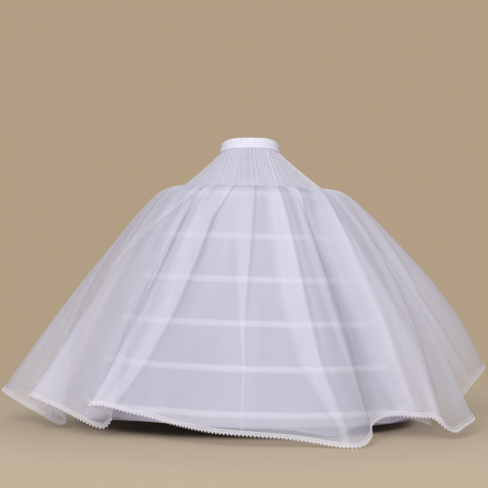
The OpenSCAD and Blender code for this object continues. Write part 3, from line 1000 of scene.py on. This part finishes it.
@dataclass
class NetSkirt:
    """Bell-shaped tulle skirt, gathered at the hip seam and falling in folds.

    The greatest density of gathered net is given at the seam, at mid_level, where the flutes
    open and at the hem. Knife pleats stand out by pleat_step for each layer up to
    step_layers, and grow fainter towards the hem by hem_calm and hem_spread.
    """

    cage: Cage
    name: str
    node: str
    folds: tuple[tuple[float, ...], ...]
    seam_radius: float
    seam_drop: float
    hem_radius: float
    hem_drop: float
    shoulder: float
    columns: int
    rows: int
    pleat_depth: float = 3 * MM
    panels: int = 10
    cut_top: float = 0.5
    side_fullness: float = 0.55
    least_gathered: float = 0.8
    most_gathered: tuple[float, ...] = (3.0, 2.5, 1.6, 1.2)
    mid_level: float = 0.6
    pleats: int = 20
    shoulder_reach: float = 0.03
    level_power: float = 1.5
    bell_power: float = 0.8
    bell_swell: float = 0.09
    swing_power: float = 0.7
    flute_power: float = 2.0
    flute_start: float = 0.85
    upper_rows: float = 0.64
    crowd_power: float = 1.3
    pleat_fade: float = 6.0
    pleat_step: float = 3.5 * MM
    hem_samples: int = 60
    step_layers: float = 1.5
    step_rise: float = 0.03
    hem_calm: float = 0.7
    hem_spread: float = 0.6
    knife_pleats: tuple[Pleat, ...] = ()
    places: np.ndarray = field(init=False)

    def __post_init__(self) -> None:
        """Spaces the columns evenly along the hem."""
        self.places = self.even_places(self.columns)

    def fold_at(self, place: np.ndarray) -> np.ndarray:
        """Smooth closed curve through the fold rows (Catmull-Rom), at real row places.

        Args:
            place: row places, whole at the rows.

        Returns:
            Array of places and five: azimuths in radians, then reach, lower and calm reach in
            metres.
        """
        table = np.array(self.folds, float)
        count = len(table)
        base = np.floor(place).astype(int)
        t = (place - base)[:, None]
        index = base[:, None] + np.arange(-1, 3)
        turns = 360.0 * (index // count)[..., None] * np.array([1, 1, 0, 0, 0])
        a, b, c, d = np.moveaxis(table[index % count] + turns, 1, 0)
        curve = (b + (c - a) * t / 2 + (2 * a - 5 * b + 4 * c - d) * t ** 2 / 2
                 + (3 * b - a - 3 * c + d) * t ** 3 / 2)
        share = self.cage.hem_radius / 1000
        turn = math.pi / 180
        return curve * np.array([turn, turn, share, share, share])

    def surface(self, place: np.ndarray, level: np.ndarray) -> tuple[np.ndarray, np.ndarray, np.ndarray]:
        """Points of the net at row places and levels, 0 at the seam and 1 at the hem.

        The net springs out of the seam by its shoulder, as 1 - exp(-level / reach), then
        its radius grows as a power of the fall, swollen midway on the right. Folds swing
        from their place at the seam to that at the hem, and flutes open late, as a power of
        the fall. Soft pleats fade below the shoulder, and knife pleats stand out by their
        step. The seam itself leans with the cage.

        Args:
            place: row places of the columns.
            level: levels of the rows.

        Returns:
            Array of rows, columns and xyz, the layers that the knife pleats add, and the shade painted along
            their creases.
        """
        fold = self.fold_at(place)
        seam_azimuth, hem_azimuth, reach, lower, calm = (fold[None, :, k] for k in range(5))
        level = level[:, None]
        usual_fall = self.hem_drop - self.seam_drop
        way = level ** self.level_power
        fall = way * (1 + lower / usual_fall)
        swing = fall ** self.swing_power
        reach = calm + (reach - calm) * fall ** self.flute_power
        azimuth = seam_azimuth * (1 - swing) + hem_azimuth * swing
        spring = self.shoulder * (1 - np.exp(-level / self.shoulder_reach))
        swell = self.bell_swell * (1 + np.sin(azimuth)) / 2 * (4 * fall * (1 - fall)) ** 2
        flare = self.hem_radius + reach - self.seam_radius - self.shoulder
        flare = flare * fall ** self.bell_power * (1 + swell)
        fade = self.pleat_fade * level
        soft = self.pleat_depth * np.cos(self.pleats * azimuth) * fade * np.exp(1 - fade)
        layers, creases = np.zeros_like(azimuth), np.zeros_like(azimuth)
        for pleat in self.knife_pleats:
            strip, crease = pleat.lie(azimuth, fall)
            layers += pleat.layers * strip
            # The deepest painted crease shade of all the pleats
            creases = np.maximum(creases, pleat.layers * crease)
        calm_down = 1 - self.hem_calm * way
        risen = np.clip(level / self.step_rise, 0, 1)
        crisp = self.pleat_step * np.minimum(layers, self.step_layers) * risen * calm_down
        edge = around(seam_azimuth, np.float64(self.seam_radius), np.float64(self.seam_drop))
        points = around(azimuth, self.seam_radius + spring + flare + soft + crisp,
                        self.seam_drop + usual_fall * fall)
        points += (self.cage.leaned(edge) - edge) * (1 - way)[..., None]
        return points, layers * (1 - self.hem_spread * way), creases * calm_down

    def even_places(self, count: int) -> np.ndarray:
        """Row places that lie at even steps along the hem's length.

        Args:
            count: number of places.

        Returns:
            The places.
        """
        dense = np.linspace(0, len(self.folds), self.hem_samples * len(self.folds) + 1)
        hem = self.surface(dense, np.array([1.0]))[0][0]
        length = np.concatenate([[0], np.cumsum(np.linalg.norm(np.diff(hem, axis=0), axis=1))])
        return np.interp(np.linspace(0, length[-1], count, endpoint=False), length, dense)

    def levels(self) -> np.ndarray:
        """Levels of the rows, closer together at the shoulder and where the flutes open.

        Returns:
            The levels, from 0 to 1.
        """
        upper = round(self.upper_rows * self.rows)
        return np.concatenate([self.flute_start * np.linspace(0, 1, upper) ** self.crowd_power,
                               np.linspace(self.flute_start, 1, self.rows - upper + 1)[1:]])

    def build(self, colour: str, shade: str, cover: float, seam_place: float) -> bpy.types.Object:
        """Makes the net, with its gathered density stored at each point.

        The density is the width of flat cloth in each width of skirt, kept between limits.
        It is fuller at the sides, by the cube of the share of x in the radius, but not at the
        hem, and the knife pleats' layers are added.

        Args:
            colour: sRGB colour of the net.
            shade: sRGB colour of the shade painted into its soft creases.
            cover: share of what lies behind that one flat layer covers.
            seam_place: share of the hem's length at which a panel seam lies.

        Returns:
            The net.
        """
        points, layers, creases = self.surface(self.places, self.levels())
        uv = flat_uv(points)
        made = grid_object(self.name, points, uv)
        across = np.linalg.norm(np.roll(points, -1, 1) - np.roll(points, 1, 1), axis=2) / 2
        cut = across[-1:] * (self.cut_top + (1 - self.cut_top) * uv[:, :1, 1] / uv[-1, 0, 1])
        side = np.abs(points[..., 0]) / np.hypot(points[..., 0], points[..., 1])
        level = self.levels()[:, None]
        fullness = 1 + self.side_fullness * side ** 3 * (1 - level ** 6)
        most = np.interp(level, [0, self.mid_level, self.flute_start, 1], self.most_gathered)
        density = np.clip(cut / across, self.least_gathered, most)
        point_attribute(made, "gathered", density * fullness + layers)
        # Painted shade along the knife pleats' creases, which the net's colour takes
        point_attribute(made, "creased", np.clip(creases, 0, 1))
        width, length = uv[-1, -1]
        finish = Tulle(self.name, colour, shade, cover, panel_width=width / self.panels,
                       seam_place=seam_place * width, hem_place=length)
        made.data.materials.append(finish.material())
        stands_for(made, Slot.TULLE, self.node)
        log.info("%s: hem %.2f m, fall %.2f m", made.name, width, length)
        return made

    def flat(self) -> tuple[float, float]:
        """Width and length of the flat cut: the hem's length, and the mean length down the net."""
        return tuple(flat_uv(self.surface(self.places, self.levels())[0])[-1, -1])

    def declare(self) -> None:
        width, length = self.flat()


@dataclass
class HemLace:
    """Narrow toothed lace along the outer net's hem, with a cord along each edge.

    The teeth are drawn a little coarser than real ones so that they show.
    """

    net: NetSkirt
    height: float = 11 * MM
    tooth: float = 13 * MM
    tooth_depth: float = 9.5 * MM
    top_wave: float = 1.5 * MM
    tooth_root: float = 0.2
    samples: int = 6
    rows: int = 6
    above_hem: float = 0.997
    stand_off: float = 1.2 * MM
    cord_radius: float = 1.0 * MM
    cord_sides: int = 6

    def strip(self) -> tuple[np.ndarray, np.ndarray]:
        """Grid of the lace and its outward normals.

        The strip runs down square to the net's hem; its lower edge is a row of teeth, a
        triangle wave along the hem, and its top edge has the same wave made lower.

        Returns:
            Points and normals, both arrays of rows, columns and xyz.
        """
        width, _ = self.net.flat()
        columns = self.samples * round(width / self.tooth)
        place = self.net.even_places(columns)
        end = self.net.surface(place, np.array([self.above_hem, 1.0]))[0]
        along = np.roll(end[1], -1, 0) - np.roll(end[1], 1, 0)
        along /= np.linalg.norm(along, axis=1, keepdims=True)
        down = end[1] - end[0]
        down -= along * (down * along).sum(1, keepdims=True)
        down /= np.linalg.norm(down, axis=1, keepdims=True)
        normal = grid_normals(end)[1]
        tooth = 1 - np.abs(2 * (np.arange(columns) / self.samples % 1) - 1)[None, :]
        share = np.linspace(0, 1, self.rows)[:, None]
        top = -self.height + self.top_wave * tooth
        reach = top * (1 - share) + self.tooth_depth * (tooth - self.tooth_root) * share
        points = end[1][None] + down[None] * reach[..., None] + normal[None] * self.stand_off
        return points, np.broadcast_to(normal[None], points.shape)

    def cord(self, name: str, path: np.ndarray, normal: np.ndarray) -> bpy.types.Object:
        """Round cord: a ring of a few sides carried along a closed path.

        Args:
            name: object's name.
            path: points along the path.
            normal: outward unit vectors at those points.

        Returns:
            The cord.
        """
        along = np.roll(path, -1, 0) - np.roll(path, 1, 0)
        along /= np.linalg.norm(along, axis=1, keepdims=True)
        side = np.cross(along, normal)
        side /= np.linalg.norm(side, axis=1, keepdims=True)
        face = np.cross(side, along)
        angle = np.linspace(0, 2 * math.pi, self.cord_sides, endpoint=False)[:, None, None]
        ring = np.cos(angle) * face[None] + np.sin(angle) * side[None]
        points = path[None] + self.cord_radius * ring
        return grid_object(name, points, flat_uv(points, True), True)

    def build(self, ground: LaceNet, thread: WovenCloth) -> list[bpy.types.Object]:
        """Makes the lace ground and its two cords, and finishes them.

        Args:
            ground: finish of the ground.
            thread: finish of the cords.

        Returns:
            The three pieces.
        """
        points, normals = self.strip()
        lace = grid_object("lace_ground", points, flat_uv(points))
        lace.data.materials.append(ground.material())
        stands_for(lace, Slot.LACE, "hem_lace")
        finish = thread.material()
        pieces = [lace]
        for name, row in (("lace_top_cord", 0), ("lace_edge_cord", -1)):
            cord = self.cord(name, points[row], normals[row])
            cord.data.materials.append(finish)
            stands_for(cord, Slot.LACE)
            pieces.append(cord)
        return pieces


# Stage


# Soft lamps: name, place in metres, power in watts and width in metres
LAMPS = (
    ("key lamp", (-1.0, -6.0, 2.4), 262.0, 2.6),
    ("fill lamp", (3.2, -4.6, 1.6), 30.0, 3.0),
    ("back lamp", (0.4, 5.6, 2.8), 80.0, 3.0),
)


@dataclass
class Studio:
    """Pale floor that runs into a plain backdrop colour all round, soft lamps and a level camera."""

    floor: float = -1.062
    reach: float = 60.0
    floor_columns: int = 96
    floor_rings: int = 24
    inmost_ring: float = 0.002
    colour: str = "#C6B59E"
    backdrop: str = "#B29E84"
    fade: tuple[float, float] = (1.3, 3.0)
    soft_light: float = 0.46
    aim: tuple[float, float, float] = (0.0, 0.0, -0.6)
    eye: tuple[float, float, float] = (-22.5 * MM, -6.862, -0.394)
    lens: float = 135.0
    sensor: float = 36.0
    sheer_layers: int = 24

    def seen(self, tree: bpy.types.NodeTree) -> bpy.types.NodeSocket:
        """Adds nodes that tell the rays that see a backdrop from those that light the object.

        Args:
            tree: node tree that gets the nodes.

        Returns:
            Socket with 1 for camera, glossy and transmission rays and 0 for the rest.
        """
        node = partial(add_node, tree)
        path = node("LightPath").outputs
        gloss = node("Math", path["Is Glossy Ray"], path["Is Transmission Ray"], operation="MAXIMUM")
        return node("Math", path["Is Camera Ray"], gloss, operation="MAXIMUM").outputs[0]

    def paper(self) -> bpy.types.Material:
        """Matt studio paper that turns to the backdrop's own colour over a range of distances.

        Returns:
            The new material.
        """
        made, tree, shader = new_material("matt studio paper")
        node = partial(add_node, tree)
        shader.inputs["Base Color"].default_value = linear(self.colour)
        shader.inputs["Roughness"].default_value = 0.9
        shader.inputs["Specular IOR Level"].default_value = 0.1
        place = node("TexCoord").outputs["Object"]
        level = node("VectorMath", place, (1.0, 1.0, 0.0), operation="MULTIPLY")
        distance = node("VectorMath", level, operation="LENGTH").outputs["Value"]
        far = node("MapRange", interpolation_type="SMOOTHSTEP", named={
            "Value": distance, "From Min": self.fade[0], "From Max": self.fade[1]})
        glow = node("Emission", named={"Color": linear(self.backdrop)})
        share = node("Math", far, self.seen(tree), operation="MULTIPLY")
        mixed = node("MixShader", share, shader, glow)
        tree.links.new(mixed.outputs[0], tree.nodes["Material Output"].inputs["Surface"])
        return made

    def ground(self) -> None:
        """Round floor: rings whose radii grow as a square, carried once round."""
        turn = np.linspace(0, 2 * math.pi, self.floor_columns, endpoint=False)[None, :]
        radius = (self.reach * np.linspace(1, self.inmost_ring, self.floor_rings) ** 2)[:, None]
        points = around(turn, radius, np.float64(-self.floor))
        ground = grid_object("studio_floor", points[::-1])
        ground.data.materials.append(self.paper())

    def lamp(self, name: str, place: tuple[float, float, float], power: float, size: float) -> None:
        """Adds one square soft lamp that faces the aim.

        Args:
            name: lamp's name.
            place: where it stands, in metres.
            power: power in watts.
            size: width in metres.
        """
        light = bpy.data.lights.new(name, "AREA")
        light.energy = power
        light.size = size
        lamp = bpy.data.objects.new(name, light)
        offset = np.array(self.aim) - np.array(place)
        lamp.location = place
        lamp.rotation_euler = (math.acos(-offset[2] / np.linalg.norm(offset)), 0.0,
                               math.atan2(offset[1], offset[0]) - math.pi / 2)
        bpy.context.scene.collection.objects.link(lamp)

    def surround(self) -> None:
        """White light from all round, with the backdrop's colour instead for rays that look at it."""
        world = bpy.data.worlds.new("soft studio light")
        bpy.context.scene.world = world
        world.use_nodes = True
        tree = world.node_tree
        soft = tree.nodes["Background"]
        soft.inputs["Color"].default_value = linear("#FFFFFF")
        soft.inputs["Strength"].default_value = self.soft_light
        plain = add_node(tree, "Background", named={"Color": linear(self.backdrop)})
        mixed = add_node(tree, "MixShader", self.seen(tree), soft, plain)
        tree.links.new(mixed.outputs[0], tree.nodes["World Output"].inputs["Surface"])

    def build(self) -> None:
        """Makes the stage, the light and the camera."""
        self.ground()
        self.surround()
        for name, place, power, size in LAMPS:
            self.lamp(name, place, power, size)
        camera = bpy.data.cameras.new("camera")
        camera.lens = self.lens
        camera.sensor_width = self.sensor
        camera.clip_end = self.reach
        holder = bpy.data.objects.new("camera", camera)
        holder.location = self.eye
        holder.rotation_euler = (math.pi / 2, 0.0, 0.0)
        scene = bpy.context.scene
        scene.collection.objects.link(holder)
        scene.camera = holder
        scene.view_settings.view_transform = "Standard"
        # Several sheer layers lie behind each other
        scene.cycles.transparent_max_bounces = self.sheer_layers


def main() -> None:
    """Builds the stage and then each sub-assembly."""
    logging.basicConfig(level=logging.INFO, format="%(name)s %(message)s")
    Studio().build()
    cage = Cage()
    # Pressed cotton: matt and near white, so that its ridges and rows of stitches read
    cotton = WovenCloth("puckered cotton waistband", "#EEEEFD", "#DCDBEC",
                        stitch_rows=(9.5 * MM, 19 * MM, 28.5 * MM))
    # Polyester taffeta: smooth, a little grey, with a soft sheen along its gathers and painted light and
    # shade on their ridges and hollows
    yoke_cloth = WovenCloth("taffeta yoke", "#DAD8E9", "#C2C0D3", roughness=0.55, sheen=0.4, painted_gather_light=0.45)
    Waist(cage).dress(cotton, yoke_cloth)
    # Taffeta of the cone: the yoke's taffeta, duller, and painted greyer with the shade of the nets over it,
    # so that the casings stand out on it through the net
    shaded_cone_taffeta = WovenCloth("taffeta underskirt in painted shade", "#B2B0C3", "#A4A2B6", roughness=0.65)
    # Cotton tape: the whitest cloth, a bright level band with a row of stitches near each edge
    tape = WovenCloth("cotton casing tape", "#FAF9FF", "#ECEAF6", stitch_rows=(2.5 * MM, 21.5 * MM))
    # Coated spring: creamy, with a soft gloss
    bone = MouldedPlastic("plastic-coated spring bone", "#EDEBE4", "#D9D7CF")
    # Nylon sleeve: the same gloss in a plain pale grey
    joiner = MouldedPlastic("moulded nylon joiner", "#E2E2E2", "#CCCCCC")
    Underskirt(cage).dress(shaded_cone_taffeta, tape, bone, joiner)
    # Elastic: matt and pale, and hidden in the band, so blotches stand for its weave
    elastic = MouldedPlastic("woven elastic", "#ECECEC", "#D8D8D8", 0.8)
    wear(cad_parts["waist_elastic"], elastic.material())
    outer = NetSkirt(
        cage, "outer_tulle", "outer_net", OUTER_FOLDS, seam_radius=260.9 * MM, seam_drop=182.1 * MM,
        hem_radius=cage.hem_radius + 233 * MM, hem_drop=cage.hem_drop - 23 * MM, shoulder=53 * MM,
        columns=900, rows=100, knife_pleats=FRONT_PLEATS + SIDE_PLEATS)
    inner = NetSkirt(
        cage, "inner_tulle", "inner_net", INNER_FOLDS, seam_radius=261.7 * MM, seam_drop=184.2 * MM,
        hem_radius=cage.hem_radius + 63 * MM, hem_drop=cage.hem_drop - 3 * MM, shoulder=29 * MM,
        columns=520, rows=64)
    # Nylon tulle: a cool white veil, denser in the outer net than in the inner one
    outer_made = outer.build("#EFF0FF", "#E4E5FA", cover=0.42, seam_place=0.045)
    inner_made = inner.build("#EDEEFF", "#E2E3F8", cover=0.32, seam_place=0.0)
    # Cotton lace: an open matt ground between two whiter cords
    ground = LaceNet("cotton lace ground", "#F6F5FA")
    thread = WovenCloth("cotton lace cord", "#FAF9FD", "#E6E4EE")
    trims = HemLace(outer).build(ground, thread)
    outer.declare()
    inner.declare()


if __name__ == "__main__":
    main()
